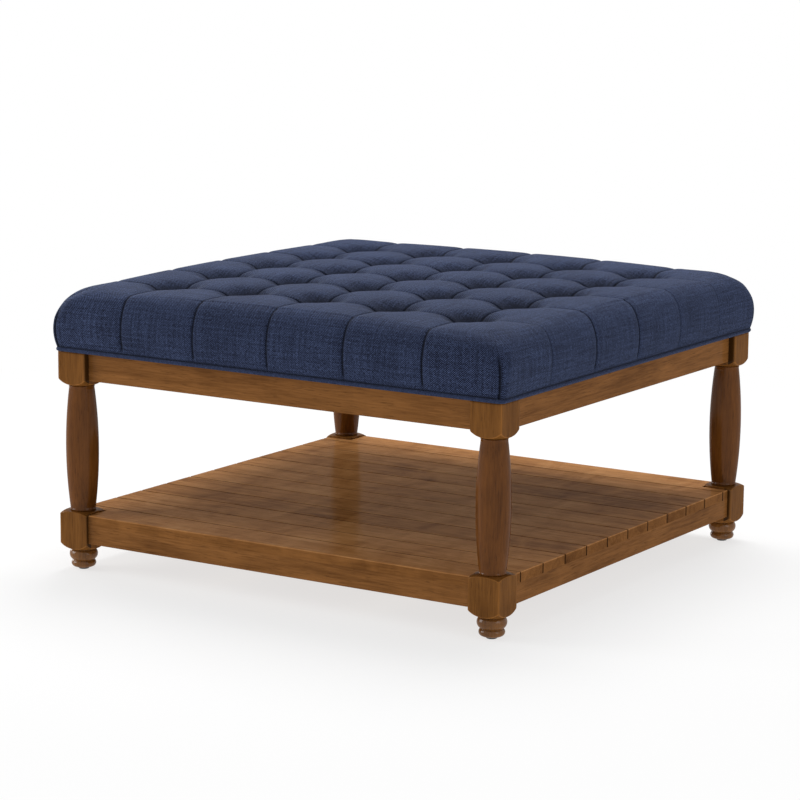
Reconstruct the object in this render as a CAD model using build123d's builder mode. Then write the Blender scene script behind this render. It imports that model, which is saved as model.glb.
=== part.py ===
from build123d import *
from math import cos, radians, sin, sqrt
import os

# Square ottoman coffee table: four turned legs carry an apron and a boarded shelf,
# and a biscuit-tufted cushion with a corded edge closes the top.
# Millimetres, +Z up, origin on the floor under the middle of the table. The front is -Y.

# Plan of the frame
table_side = 840.0
leg_block = 55.0
block_edge_chamfer = 1.5
corner_flat = 10.0

# Turned leg, stacked up from the floor
glide_height = 3.5
foot_bead_height = 12.1
foot_ball_height = 18.7
under_shoulder_height = 12.0
lower_block_height = 48.2
over_shoulder_height = 5.5
collar_height = 3.0
shaft_height = 203.0
upper_block_height = 45.0
foot_base_radius = 13.5
foot_bead_radius = 20.0
foot_waist_radius = 18.3
foot_ball_radius = 22.8
foot_neck_radius = 20.4
under_shoulder_bow = 2.2
over_shoulder_bow = 1.6
collar_radius = 19.4
shaft_end_radius = 20.6
shaft_belly_radius = 27.0

# Rounds are drawn with flats: sides of the turned legs, of small rounds and of shanks,
# and the number of flats along each curve of the leg's outline
turned_sides = 28
round_sides = 16
fastener_sides = 8
bead_flats = 3
ball_flats = 4
shoulder_flats = 2
collar_flats = 2
shaft_flats = 6
corner_flats = 5

# Nail-on glide under each leg
glide_radius = 9.0
glide_edge_chamfer = 1.0
glide_nail_radius = 1.5
glide_nail_length = 15.0

# Apron and shelf frame
apron_height = 47.0
apron_thickness = 20.0
apron_setback = 12.0
shelf_rail_height = 32.0
shelf_rail_thickness = 20.0
shelf_setback = 6.0
shelf_lift = 1.7
rail_edge_chamfer = 1.2

# Tenons on the rails, and the clearances of glued joints
tenon_length = 16.0
tenon_thickness = 10.0
apron_tenon_height = 33.0
shelf_tenon_height = 20.0
glue_clearance = 0.1
bottom_clearance = 0.5

# Corner braces, keyed into the rails, and the bolts that draw each leg in
brace_thickness = 22.0
brace_height = 30.0
tongue_width = 8.0
tongue_depth = 4.0
bolt_radius = 3.0
bolt_embed = 28.0
bolt_head_width = 10.0
bolt_head_height = 4.0
bolt_clearance = 0.4
washer_radius = 9.0
washer_thickness = 1.6

# Shelf boards, the battens under them and the brads that hold them
plank_count = 12
plank_thickness = 16.0
plank_gap = 2.2
plank_edge_chamfer = 0.8
notch_clearance = 0.3
batten_count = 2
batten_pitch = 300.0
batten_width = 40.0
batten_thickness = 19.0
dado_depth = 6.0
dado_clearance = 0.2
brad_width = 1.3
brad_thickness = 1.1
brad_length = 30.0

# Upholstered top: deck board, dust cover, welt, foam, wadding and tufted cover
dust_cover_thickness = 0.8
dust_cover_margin = 6.0
deck_inset = 2.0
deck_thickness = 12.0
deck_corner_radius = 7.0
deck_screw_radius = 2.2
deck_screw_head_radius = 4.5
deck_screw_head_height = 2.5
deck_screw_length = 39.0
deck_screw_offset = 24.0
screw_clearance = 0.2
welt_radius = 3.0
soft_clearance = 0.3
cover_base_step = 6.0
cover_swell = 7.0
cover_shoulder_run = 42.0
cover_wide_rise = 39.4
cover_shoulder_rise = 101.4
cover_crown_rise = 107.4
cover_base_corner = 13.0
cover_shoulder_corner = 70.0
wall_bands = 2
shoulder_bands = 5
tuft_count = 5
tuft_pitch = 142.0
tuft_depth = 30.0
tuft_radius = 40.0
tuft_point_radius = 3.0
tuft_sides = 8
pleat_depth = 16.0
pleat_half_width = 62.0
seam_depth = 4.0
seam_width = 3.0
foam_inset = 10.0
foam_corner_radius = 56.0
wadding_thickness = 4.0
tuft_cover = 4.0

# Cutting tools run on past the faces that they cut by this much
overrun = 5.0


def spread(count, pitch):
    """Places of a row of like things, centred on zero."""
    return [(index - (count - 1) / 2) * pitch for index in range(count)]


def stations(curve, count):
    """The points that end each of a number of equal parts of a curve."""
    return [curve @ (index / count) for index in range(1, count + 1)]


def flat_sided(ruled):
    """The same solid as a ruled loft of matching outlines, with every side a true plane."""
    return Solid(Shell([Face(side.outer_wire()) for side in ruled.faces()]))


def soft_square(half, corner_radius):
    """Corner points of a square with rounded corners, each drawn with a number of flats."""
    centre = half - corner_radius
    return [
        Vector(centre + corner_radius * cos(angle), centre + corner_radius * sin(angle)).rotate(Axis.Z, turn)
        for turn in (0, 90, 180, 270)
        for angle in [radians(90) * index / corner_flats for index in range(corner_flats + 1)]
    ]


# Heights that follow from the stack of the leg
foot_waist = glide_height + foot_bead_height
foot_neck = foot_waist + foot_ball_height
lower_block_start = foot_neck + under_shoulder_height
lower_block_end = lower_block_start + lower_block_height
lower_collar = lower_block_end + over_shoulder_height
shaft_start = lower_collar + collar_height
shaft_end = shaft_start + shaft_height
upper_collar = shaft_end + collar_height
upper_block_start = upper_collar + under_shoulder_height
leg_top = upper_block_start + upper_block_height
shelf_rail_bottom = lower_block_start + shelf_lift
shelf_rail_top = shelf_rail_bottom + shelf_rail_height
apron_bottom = leg_top - apron_height

# Plan places that follow from the side of the table
half_side = table_side / 2
half_block = leg_block / 2
leg_axis = half_side - half_block
block_inner = half_side - leg_block
apron_outer = half_side - apron_setback
apron_inner = apron_outer - apron_thickness
shelf_outer = half_side - shelf_setback
shelf_inner = shelf_outer - shelf_rail_thickness
brace_line = 2 * block_inner + corner_flat
brace_middle = brace_line - brace_thickness * sqrt(2) / 2
brace_inner_line = brace_line - brace_thickness * sqrt(2)
deck_half = half_side - deck_inset
cover_base_half = deck_half + cover_base_step
cover_wide_half = cover_base_half + cover_swell
cover_shoulder_half = cover_wide_half - cover_shoulder_run
foam_half = deck_half - foam_inset
leg_face = block_inner + corner_flat / 2
bolt_seat = brace_inner_line / 2 - washer_thickness / sqrt(2)
batten_places = spread(batten_count, batten_pitch)
tuft_places = spread(tuft_count, tuft_pitch)



def bolt_plane(place, height):
    """Square to the diagonal of the corner +X +Y, at equal X and Y, facing outward."""
    return Plane(origin=(place, place, height), x_dir=(1, -1, 0), z_dir=(1, 1, 0))


# The quarter turns that take the corner +X +Y, or the front side, to the other three
corners = {"back_right": 0, "back_left": 90, "front_left": 180, "front_right": 270}
sides = {"front": 0, "right": 90, "back": 180, "left": 270}

os.makedirs("parts", exist_ok=True)


# Turned leg at the corner +X +Y: one billet, left square where the rails meet it.
# The lathe's outline, from the foot up, is half the leg seen from its front.
square_radius = half_block * sqrt(2)
foot_bead = ThreePointArc(
    (foot_base_radius, glide_height),
    (foot_bead_radius, glide_height + foot_bead_height / 2),
    (foot_waist_radius, foot_waist),
)
foot_ball = ThreePointArc(
    foot_bead @ 1,
    (foot_ball_radius, foot_waist + foot_ball_height / 2),
    (foot_neck_radius, foot_neck),
)
lower_under = SagittaArc(foot_ball @ 1, (square_radius, lower_block_start), -under_shoulder_bow)
lower_block = Line(lower_under @ 1, (square_radius, lower_block_end))
lower_over = SagittaArc(lower_block @ 1, (collar_radius, lower_collar), -over_shoulder_bow)
lower_ring = RadiusArc(lower_over @ 1, (shaft_end_radius, shaft_start), -collar_height)
shaft = ThreePointArc(
    lower_ring @ 1,
    (shaft_belly_radius, (shaft_start + shaft_end) / 2),
    (shaft_end_radius, shaft_end),
)
upper_ring = RadiusArc(shaft @ 1, (collar_radius, upper_collar), -collar_height)
upper_under = SagittaArc(upper_ring @ 1, (square_radius, upper_block_start), -under_shoulder_bow)
upper_block = Line(upper_under @ 1, (square_radius, leg_top))

lathe_stations = [
    foot_bead @ 0,
    *stations(foot_bead, bead_flats),
    *stations(foot_ball, ball_flats),
    *stations(lower_under, shoulder_flats),
    lower_block @ 1,
    *stations(lower_over, shoulder_flats),
    *stations(lower_ring, collar_flats),
    *stations(shaft, shaft_flats),
    *stations(upper_ring, collar_flats),
    *stations(upper_under, shoulder_flats),
    upper_block @ 1,
]

frame_rows = {
    "apron": (apron_inner, apron_thickness, (apron_bottom + leg_top) / 2, apron_tenon_height, leg_top),
    "shelf": (
        shelf_inner,
        shelf_rail_thickness,
        (shelf_rail_bottom + shelf_rail_top) / 2,
        shelf_tenon_height,
        shelf_rail_top,
    ),
}

with BuildPart() as turning:
    for station in lathe_stations:
        with BuildSketch(Plane.XY.offset(station.Y)):
            with Locations((leg_axis, leg_axis)):
                RegularPolygon(station.X, turned_sides)
    loft(ruled=True)

# The square column then trims the turned form, and the joints are cut
with BuildPart() as corner_leg:
    add(flat_sided(turning.part))
    with BuildSketch(Plane.XY.offset(glide_height)) as column:
        with Locations((leg_axis, leg_axis)):
            Rectangle(leg_block, leg_block)
        chamfer(column.vertices(), block_edge_chamfer)
    extrude(amount=leg_top - glide_height, mode=Mode.INTERSECT)
    # The inner corner of both blocks is planed flat for the bolt
    with BuildSketch(Plane.XY):
        Polygon(
            (block_inner, block_inner),
            (block_inner + corner_flat, block_inner),
            (block_inner, block_inner + corner_flat),
            align=None,
        )
    extrude(amount=leg_top, mode=Mode.SUBTRACT)
    for inner, thickness, middle, tenon_height, top in frame_rows.values():
        centre = inner + thickness / 2
        with BuildSketch(Plane.YZ.offset(block_inner)):
            with Locations((centre, middle)):
                Rectangle(tenon_thickness + 2 * glue_clearance, tenon_height + 2 * glue_clearance)
        extrude(amount=tenon_length + bottom_clearance, mode=Mode.SUBTRACT)
        with BuildSketch(Plane.XZ.offset(-block_inner)):
            with Locations((centre, middle)):
                Rectangle(tenon_thickness + 2 * glue_clearance, tenon_height + 2 * glue_clearance)
        extrude(amount=-tenon_length - bottom_clearance, mode=Mode.SUBTRACT)
        with BuildSketch(bolt_plane(leg_face, top - brace_height / 2)):
            RegularPolygon(bolt_radius + glue_clearance, fastener_sides)
        extrude(amount=bolt_embed + bottom_clearance, mode=Mode.SUBTRACT)
    with BuildSketch(Plane.XY.offset(glide_height)):
        with Locations((leg_axis, leg_axis)):
            RegularPolygon(glide_nail_radius + glue_clearance, fastener_sides)
    extrude(amount=glide_nail_length + bottom_clearance, mode=Mode.SUBTRACT)

for corner, turn in corners.items():
    with BuildPart() as leg:
        add(corner_leg.part, rotation=(0, 0, turn))
    leg.part.label = f"leg_{corner}"
    export_step(leg.part, f"parts/leg_{corner}.step")

# Glides: a moulded disc with its nail, driven into the end grain of each leg
with BuildPart() as corner_glide:
    with BuildSketch():
        with Locations((leg_axis, leg_axis)):
            RegularPolygon(glide_radius, round_sides)
    extrude(amount=glide_height)
    chamfer(corner_glide.faces().sort_by(Axis.Z)[0].edges(), glide_edge_chamfer)
    with BuildSketch(Plane.XY.offset(glide_height)):
        with Locations((leg_axis, leg_axis)):
            RegularPolygon(glide_nail_radius, fastener_sides)
    extrude(amount=glide_nail_length)

with BuildPart() as glides:
    for turn in corners.values():
        add(corner_glide.part, rotation=(0, 0, turn))
glides.part.label = "foot_glides"
export_step(glides.part, "parts/foot_glides.step")

# Rails of the apron and of the shelf: tenoned into the legs at both ends, and
# grooved inside for the tongues of the corner braces. Made at the front.
for row, (inner, thickness, middle, tenon_height, top) in frame_rows.items():
    centre = inner + thickness / 2
    bottom = 2 * middle - top
    with BuildPart() as rail:
        with BuildSketch(Plane.XY.offset(bottom)):
            with Locations((0, -centre)):
                Rectangle(2 * block_inner, thickness)
        extrude(amount=top - bottom)
        chamfer(rail.edges().filter_by(Axis.X).group_by(Axis.Z)[0], rail_edge_chamfer)
        with BuildSketch(Plane.YZ.offset(-block_inner - tenon_length)):
            with Locations((-centre, middle)):
                Rectangle(tenon_thickness, tenon_height)
        extrude(amount=2 * (block_inner + tenon_length))
        with BuildSketch(Plane.XY.offset(top)):
            with Locations(*[(place, -inner) for place in (inner - brace_middle, brace_middle - inner)]):
                Rectangle(
                    tongue_width + 2 * glue_clearance,
                    2 * (tongue_depth + glue_clearance),
                )
        extrude(amount=-brace_height, mode=Mode.SUBTRACT)
    with BuildPart() as housed_rail:
        add(rail.part)
        with BuildSketch(Plane.XY.offset(top)):
            with Locations(*[(place, -inner) for place in batten_places]):
                Rectangle(batten_width + 2 * dado_clearance, 2 * (dado_depth + dado_clearance))
        extrude(amount=-batten_thickness, mode=Mode.SUBTRACT)
    for side, turn in sides.items():
        takes_battens = row == "shelf" and side in ("front", "back")
        with BuildPart() as side_rail:
            add(housed_rail.part if takes_battens else rail.part, rotation=(0, 0, turn))
        side_rail.part.label = f"{row}_rail_{side}"
        export_step(side_rail.part, f"parts/{row}_rail_{side}.step")

# Corner braces: a block across each corner behind the leg, with a tongue in each rail
screw_along = brace_middle / 2 + deck_screw_offset / sqrt(2)
screw_across = brace_middle / 2 - deck_screw_offset / sqrt(2)
for row, (inner, thickness, middle, tenon_height, top) in frame_rows.items():
    seat = brace_middle - inner
    with BuildPart() as corner_brace:
        with BuildSketch(Plane.XY.offset(top - brace_height)):
            Polygon(
                (inner, brace_line - inner),
                (brace_line - inner, inner),
                (brace_inner_line - inner, inner),
                (inner, brace_inner_line - inner),
                align=None,
            )
            with Locations((inner, seat)):
                Rectangle(2 * tongue_depth, tongue_width)
            with Locations((seat, inner)):
                Rectangle(tongue_width, 2 * tongue_depth)
            if row == "apron":
                with Locations((screw_along, screw_across)):
                    RegularPolygon(deck_screw_radius + screw_clearance, fastener_sides, mode=Mode.SUBTRACT)
        extrude(amount=brace_height)
        with BuildSketch(bolt_plane(brace_inner_line / 2 - overrun, top - brace_height / 2)):
            RegularPolygon(bolt_radius + bolt_clearance, fastener_sides)
        extrude(amount=brace_thickness + 2 * overrun * sqrt(2), mode=Mode.SUBTRACT)
    for corner, turn in corners.items():
        with BuildPart() as brace:
            add(corner_brace.part, rotation=(0, 0, turn))
        brace.part.label = f"{row}_brace_{corner}"
        export_step(brace.part, f"parts/{row}_brace_{corner}.step")

# Bolts and washers: a hexagon bolt through each brace, along the diagonal, into the leg
with BuildPart() as corner_bolts:
    for top in (leg_top, shelf_rail_top):
        with BuildSketch(bolt_plane(bolt_seat, top - brace_height / 2)):
            RegularPolygon(bolt_radius, fastener_sides)
        extrude(amount=washer_thickness + brace_thickness + bolt_embed)
        with BuildSketch(bolt_plane(bolt_seat, top - brace_height / 2)):
            RegularPolygon(bolt_head_width / 2, 6, major_radius=False)
        extrude(amount=-bolt_head_height)

with BuildPart() as corner_washers:
    for top in (leg_top, shelf_rail_top):
        with BuildSketch(bolt_plane(bolt_seat, top - brace_height / 2)):
            RegularPolygon(washer_radius, round_sides)
            RegularPolygon(bolt_radius + bolt_clearance, fastener_sides, mode=Mode.SUBTRACT)
        extrude(amount=washer_thickness)

with BuildPart() as bolts:
    for turn in corners.values():
        add(corner_bolts.part, rotation=(0, 0, turn))
bolts.part.label = "corner_bolts"
export_step(bolts.part, "parts/corner_bolts.step")

with BuildPart() as washers:
    for turn in corners.values():
        add(corner_washers.part, rotation=(0, 0, turn))
washers.part.label = "corner_washers"
export_step(washers.part, "parts/corner_washers.step")

# Shelf: battens let into the front and back rails carry the boards, which end flush
# with the rails. The two outer boards are notched round the leg blocks.
batten_bottom = shelf_rail_top - batten_thickness
plank_pitch = (2 * shelf_outer + plank_gap) / plank_count
plank_width = plank_pitch - plank_gap
plank_places = spread(plank_count, plank_pitch)

for number, place in enumerate(batten_places, 1):
    with BuildPart() as batten:
        with BuildSketch(Plane.XY.offset(batten_bottom)):
            with Locations((place, 0)):
                Rectangle(batten_width, 2 * (shelf_inner + dado_depth))
        extrude(amount=batten_thickness)
        with BuildSketch(Plane.XY.offset(batten_bottom)):
            with Locations(*[(place, along) for along in plank_places]):
                Rectangle(brad_width + 2 * glue_clearance, brad_thickness + 2 * glue_clearance)
        extrude(amount=batten_thickness, mode=Mode.SUBTRACT)
    batten.part.label = f"shelf_batten_{number}"
    export_step(batten.part, f"parts/shelf_batten_{number}.step")

for number, place in enumerate(plank_places, 1):
    with BuildPart() as plank:
        with BuildSketch(Plane.XY.offset(shelf_rail_top)):
            with Locations((0, place)):
                Rectangle(2 * shelf_outer, plank_width)
        extrude(amount=plank_thickness)
        chamfer(plank.edges().filter_by(Axis.X).group_by(Axis.Z)[-1], plank_edge_chamfer)
        if number in (1, plank_count):
            notch = leg_block - shelf_setback + notch_clearance
            across = -shelf_outer if number == 1 else shelf_outer
            with BuildSketch(Plane.XY.offset(shelf_rail_top)):
                with Locations((-shelf_outer, across), (shelf_outer, across)):
                    Rectangle(2 * notch, 2 * notch)
            extrude(amount=plank_thickness, mode=Mode.SUBTRACT)
        with BuildSketch(Plane.XY.offset(shelf_rail_top)):
            with Locations(*[(along, place) for along in batten_places]):
                Rectangle(brad_width + 2 * glue_clearance, brad_thickness + 2 * glue_clearance)
        extrude(amount=brad_length - batten_thickness + bottom_clearance, mode=Mode.SUBTRACT)
    plank.part.label = f"shelf_plank_{number:02d}"
    export_step(plank.part, f"parts/shelf_plank_{number:02d}.step")

with BuildPart() as brads:
    with BuildSketch(Plane.XY.offset(batten_bottom)):
        with Locations(*[(along, across) for along in batten_places for across in plank_places]):
            Rectangle(brad_width, brad_thickness)
    extrude(amount=brad_length)
brads.part.label = "shelf_brads"
export_step(brads.part, "parts/shelf_brads.step")

# Deck: the board that the cushion is built on, the cloth that closes it from below,
# and the four screws that come up through the apron's braces
deck_bottom = leg_top + dust_cover_thickness
deck_top = deck_bottom + deck_thickness
brace_bottom = leg_top - brace_height
screw_top = brace_bottom + deck_screw_length
screw_spots = [
    Location((0, 0, 0), (0, 0, turn)) * Location((screw_along, screw_across, 0)) for turn in corners.values()
]

with BuildPart() as deck_screws:
    with BuildSketch(Plane.XY.offset(brace_bottom)):
        with Locations(*screw_spots):
            RegularPolygon(deck_screw_radius, fastener_sides)
    extrude(amount=deck_screw_length)
    with BuildSketch(Plane.XY.offset(brace_bottom)):
        with Locations(*screw_spots):
            RegularPolygon(deck_screw_head_radius, fastener_sides)
    extrude(amount=-deck_screw_head_height)
deck_screws.part.label = "deck_screws"
export_step(deck_screws.part, "parts/deck_screws.step")

with BuildPart() as dust_cover:
    with BuildSketch(Plane.XY.offset(leg_top)):
        Polygon(*soft_square(deck_half - dust_cover_margin, deck_corner_radius), align=None)
        with Locations(*screw_spots):
            RegularPolygon(deck_screw_radius + screw_clearance, fastener_sides, mode=Mode.SUBTRACT)
    extrude(amount=dust_cover_thickness)
dust_cover.part.label = "dust_cover"
export_step(dust_cover.part, "parts/dust_cover.step")

with BuildPart() as deck_board:
    with BuildSketch(Plane.XY.offset(deck_bottom)):
        Polygon(*soft_square(deck_half, deck_corner_radius), align=None)
    extrude(amount=deck_thickness)
    with BuildSketch(Plane.XY.offset(deck_bottom)):
        with Locations(*screw_spots):
            RegularPolygon(deck_screw_radius + glue_clearance, fastener_sides)
    extrude(amount=screw_top - deck_bottom + bottom_clearance, mode=Mode.SUBTRACT)
deck_board.part.label = "deck_board"
export_step(deck_board.part, "parts/deck_board.step")

# Welt: cord in a bias strip, all round the edge of the deck board under the cover
welt_half = deck_half + soft_clearance + welt_radius
welt_height = leg_top + soft_clearance + welt_radius
with BuildPart() as welt:
    with BuildLine(Plane.XY.offset(welt_height)) as welt_run:
        FilletPolyline(
            (-welt_half, -welt_half),
            (welt_half, -welt_half),
            (welt_half, welt_half),
            (-welt_half, welt_half),
            close=True,
            radius=deck_corner_radius + soft_clearance + welt_radius,
        )
    with BuildSketch(Plane(origin=welt_run.line @ 0, z_dir=welt_run.line % 0)):
        RegularPolygon(welt_radius, fastener_sides)
    sweep(path=welt_run.line)
welt.part.label = "welt_piping"
export_step(welt.part, "parts/welt_piping.step")

# Foam and wadding: a block of foam on the deck board under a cap of wadding
cover_bottom = welt_height + welt_radius + soft_clearance
cover_crown = cover_bottom + cover_crown_rise
cavity_top = cover_crown - tuft_depth - tuft_cover
wadding_top = cavity_top - soft_clearance
foam_top = wadding_top - wadding_thickness
wadding_half = foam_half + wadding_thickness
wadding_corner_radius = foam_corner_radius + wadding_thickness

with BuildPart() as foam:
    with BuildSketch(Plane.XY.offset(deck_top)):
        Polygon(*soft_square(foam_half - soft_clearance, foam_corner_radius - soft_clearance), align=None)
    extrude(amount=foam_top - deck_top)
foam.part.label = "foam_core"
export_step(foam.part, "parts/foam_core.step")

with BuildPart() as wadding:
    with BuildSketch(Plane.XY.offset(deck_top)):
        Polygon(*soft_square(wadding_half, wadding_corner_radius), align=None)
    extrude(amount=wadding_top - deck_top)
    with BuildSketch(Plane.XY.offset(deck_top)):
        Polygon(*soft_square(foam_half, foam_corner_radius), align=None)
    extrude(amount=foam_top - deck_top, mode=Mode.SUBTRACT)
wadding.part.label = "wadding_cap"
export_step(wadding.part, "parts/wadding_cap.step")

# Tufted cover: boxed and crowned, drawn in at the welt and rounded at the shoulder.
# Pleats run from tuft to tuft both ways, and on from the outer tufts as seams down the sides.
cover_wide = cover_bottom + cover_wide_rise
cover_shoulder = cover_bottom + cover_shoulder_rise
tuft_span = tuft_places[-1]


def wall_outline(inset):
    """The side of the cover seen from its end, brought in by the inset: distance from the middle, then height."""
    widest = cover_wide_half - inset
    lip = TangentArc((widest, cover_wide), (cover_base_half - inset, cover_bottom), tangent=(0, -1))
    round_over = EllipticalCenterArc(
        (cover_shoulder_half, cover_wide),
        widest - cover_shoulder_half,
        cover_shoulder - inset - cover_wide,
        start_angle=0,
        arc_size=90,
    )
    return lip, round_over


lip_line, shoulder_line = wall_outline(0)
levels = stations(lip_line, wall_bands)[::-1] + [lip_line @ 0] + stations(shoulder_line, shoulder_bands)
crown_half = cover_shoulder_half - cover_shoulder_corner * (1 - sqrt(2) / 2)

with BuildPart() as crown:
    for plane in (Plane.XZ, Plane.YZ):
        with BuildSketch(plane):
            with BuildLine():
                bow = ThreePointArc((-crown_half, cover_shoulder), (0, cover_crown), (crown_half, cover_shoulder))
                Line(bow @ 1, bow @ 0)
            make_face()
        extrude(amount=crown_half, both=True, mode=Mode.ADD if plane == Plane.XZ else Mode.INTERSECT)


# The dip between two rows of pads, open above the crown
with BuildSketch() as dip_section:
    with BuildLine():
        right = TangentArc((pleat_half_width, cover_crown), (0, cover_crown - pleat_depth), tangent=(-1, 0))
        left = TangentArc((-pleat_half_width, cover_crown), (0, cover_crown - pleat_depth), tangent=(1, 0))
        Polyline(
            right @ 0,
            (pleat_half_width, cover_crown + overrun),
            (-pleat_half_width, cover_crown + overrun),
            left @ 0,
        )
    make_face()

with BuildPart() as pleats:
    with BuildSketch(Plane.XZ):
        with Locations(*[(place, 0) for place in tuft_places]):
            add(dip_section.sketch)
    extrude(amount=tuft_span, both=True)

tuft_slope = (tuft_radius - tuft_point_radius) / tuft_depth
with BuildPart() as tuft_dip:
    with BuildSketch(Plane.XY.offset(cover_crown - tuft_depth)):
        RegularPolygon(tuft_point_radius, tuft_sides)
    with BuildSketch(Plane.XY.offset(cover_crown + overrun)):
        RegularPolygon(tuft_radius + overrun * tuft_slope, tuft_sides)
    loft(ruled=True)

with BuildPart() as tuft:
    add(flat_sided(tuft_dip.part))

# From each outer tuft the pleat rises to the shoulder and goes on as a seam down the side
run_out = Vector(0, cover_shoulder_half - tuft_span, cover_shoulder - seam_depth - cover_crown + pleat_depth)
with BuildPart() as side_seam:
    with BuildSketch(Plane.XZ.offset(-tuft_span)):
        add(dip_section.sketch)
    extrude(amount=run_out.length + overrun, dir=run_out.normalized())
    with BuildSketch(Plane.YZ):
        with BuildLine():
            add(wall_outline(seam_depth))
            Polyline(
                (cover_base_half - seam_depth, cover_bottom),
                (cover_wide_half + overrun, cover_bottom),
                (cover_wide_half + overrun, cover_crown + overrun),
                (tuft_span, cover_crown + overrun),
                (tuft_span, cover_crown - pleat_depth),
                (cover_shoulder_half, cover_shoulder - seam_depth),
            )
        make_face()
    extrude(amount=seam_width / 2, both=True)

seam_spots = [
    Location((0, 0, 0), (0, 0, turn)) * Location((place, 0, 0)) for turn in sides.values() for place in tuft_places
]

with BuildPart() as boxing:
    for level in levels:
        rise_share = (level.Y - cover_bottom) / cover_shoulder_rise
        corner_growth = (cover_shoulder_corner - cover_base_corner) * rise_share**2
        with BuildSketch(Plane.XY.offset(level.Y)):
            Polygon(*soft_square(level.X, cover_base_corner + corner_growth), align=None)
    loft(ruled=True)

with BuildPart() as cover:
    add(flat_sided(boxing.part))
    add(crown.part)
    add(pleats.part, mode=Mode.SUBTRACT)
    add(pleats.part, rotation=(0, 0, 90), mode=Mode.SUBTRACT)
    with Locations(*seam_spots):
        add(side_seam.part, mode=Mode.SUBTRACT)
    with GridLocations(tuft_pitch, tuft_pitch, tuft_count, tuft_count):
        add(tuft.part, mode=Mode.SUBTRACT)
    with BuildSketch(Plane.XY.offset(cover_bottom)):
        Polygon(*soft_square(deck_half + soft_clearance, deck_corner_radius + soft_clearance), align=None)
    extrude(amount=deck_top - cover_bottom, mode=Mode.SUBTRACT)
    with BuildSketch(Plane.XY.offset(deck_top)):
        Polygon(*soft_square(wadding_half + soft_clearance, wadding_corner_radius + soft_clearance), align=None)
    extrude(amount=cavity_top - deck_top, mode=Mode.SUBTRACT)
cover.part.label = "cushion_cover"
export_step(cover.part, "parts/cushion_cover.step")
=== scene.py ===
from math import atan2, cos, pi, sin, sqrt

import bmesh
import bpy
import numpy as np
from mathutils import Matrix, Vector


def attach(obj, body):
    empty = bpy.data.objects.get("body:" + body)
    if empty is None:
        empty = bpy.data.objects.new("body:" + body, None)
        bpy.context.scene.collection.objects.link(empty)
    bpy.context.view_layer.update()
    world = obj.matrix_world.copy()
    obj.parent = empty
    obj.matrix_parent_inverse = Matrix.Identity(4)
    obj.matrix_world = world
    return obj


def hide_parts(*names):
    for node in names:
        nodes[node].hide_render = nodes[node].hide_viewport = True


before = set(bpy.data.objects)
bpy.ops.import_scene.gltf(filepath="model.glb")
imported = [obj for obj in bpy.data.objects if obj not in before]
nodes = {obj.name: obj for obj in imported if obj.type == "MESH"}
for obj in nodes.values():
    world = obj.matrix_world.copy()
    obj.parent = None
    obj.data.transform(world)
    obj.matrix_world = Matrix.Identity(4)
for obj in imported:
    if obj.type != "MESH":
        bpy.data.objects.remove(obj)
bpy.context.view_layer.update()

# Turned legs: each is one billet of hardwood, turned on a lathe between the square blocks
# that take the rails' tenons. It is sanded, stained a warm brown and lacquered. Its edges are
# lighter, part wear and part painted highlight, and painted shade darkens it beside the rails.
half_side, half_block = 0.420, 0.0275
leg_axis = half_side - half_block
edge_round = 0.002

# Heights up the leg: glide, waist and neck of the foot, lower block, shaft, upper block.
glide_top, waist, neck = 0.0035, 0.0156, 0.0343
lower_start, lower_end, lower_collar = 0.0463, 0.0945, 0.1000
shaft_start, shaft_end, upper_collar = 0.1030, 0.3060, 0.3090
upper_start, leg_top = 0.3210, 0.3660

# Radii that the lathe cuts, and how far its arcs stand out.
pad_radius, pad_edge, pad_bevel = 0.0120, 0.0135, 0.0004
bead_radius, bead_rise, waist_radius = 0.0203, 0.00605, 0.0172
ball_radius, ball_rise, neck_radius = 0.0233, 0.00935, 0.0192
cove_radius, collar_radius, quirk_radius, belly_radius = 0.0194, 0.0212, 0.0206, 0.0270
shoulder_bow, chin_bow = 0.0022, 0.0016
bead_steps, ball_steps, shoulder_steps, block_steps = 20, 24, 26, 12
collar_steps, shaft_steps, around = 8, 44, 168

# The inner corner of the blocks is planed off, and turning runs over into them softly.
planed_reach, planed_span, unplaned = 0.03182, 0.5, 1.0
blend_over = 0.0011
rail_face, inner_face = 0.0150, 0.0262
arris_start, arris_span, arris_cut, arris_wear_and_highlight = 1.30, 0.08, 0.0006, 0.3

frame_dark, frame_light = (0.080, 0.028, 0.0045), (0.262, 0.107, 0.024)
shaft_stain, pooled_stain = (0.74, 0.63, 0.52, 1), (0.010, 0.005, 0.002, 1)
shaft_gloss, foot_gloss, shaft_margin, finish_blur = 0.14, 0.42, 0.002, 0.004
pit_strength, rail_shade_strength, wear_and_highlight_strength = 0.45, 0.8, 0.6
pit_tone, bare_and_highlit_tone = 0.45, 1.75
band_stretch, fibre_stretch, pore_stretch = (1, 9), (2, 46), (7, 115)


class Tone:
    """A socket that can be used in sums."""

    def __init__(self, tree, socket):
        self.tree = tree
        self.socket = socket

    def worked(self, operation, other, swapped=False):
        step = self.tree.nodes.new("ShaderNodeMath")
        step.operation = operation
        pair = (other, self) if swapped else (self, other)
        for slot, value in zip(step.inputs, pair):
            feed(self.tree, slot, value)
        return Tone(self.tree, step.outputs[0])

    def __add__(self, other):
        return self.worked("ADD", other)

    def __radd__(self, other):
        return self.worked("ADD", other, True)

    def __sub__(self, other):
        return self.worked("SUBTRACT", other)

    def __rsub__(self, other):
        return self.worked("SUBTRACT", other, True)

    def __mul__(self, other):
        return self.worked("MULTIPLY", other)

    def __rmul__(self, other):
        return self.worked("MULTIPLY", other, True)

    def __truediv__(self, other):
        return self.worked("DIVIDE", other)

    def __rtruediv__(self, other):
        return self.worked("DIVIDE", other, True)

    def __pow__(self, other):
        return self.worked("POWER", other)

    def __rpow__(self, other):
        return self.worked("POWER", other, True)

    def __mod__(self, other):
        return self.worked("FLOORED_MODULO", other)

    def __rmod__(self, other):
        return self.worked("FLOORED_MODULO", other, True)


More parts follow.
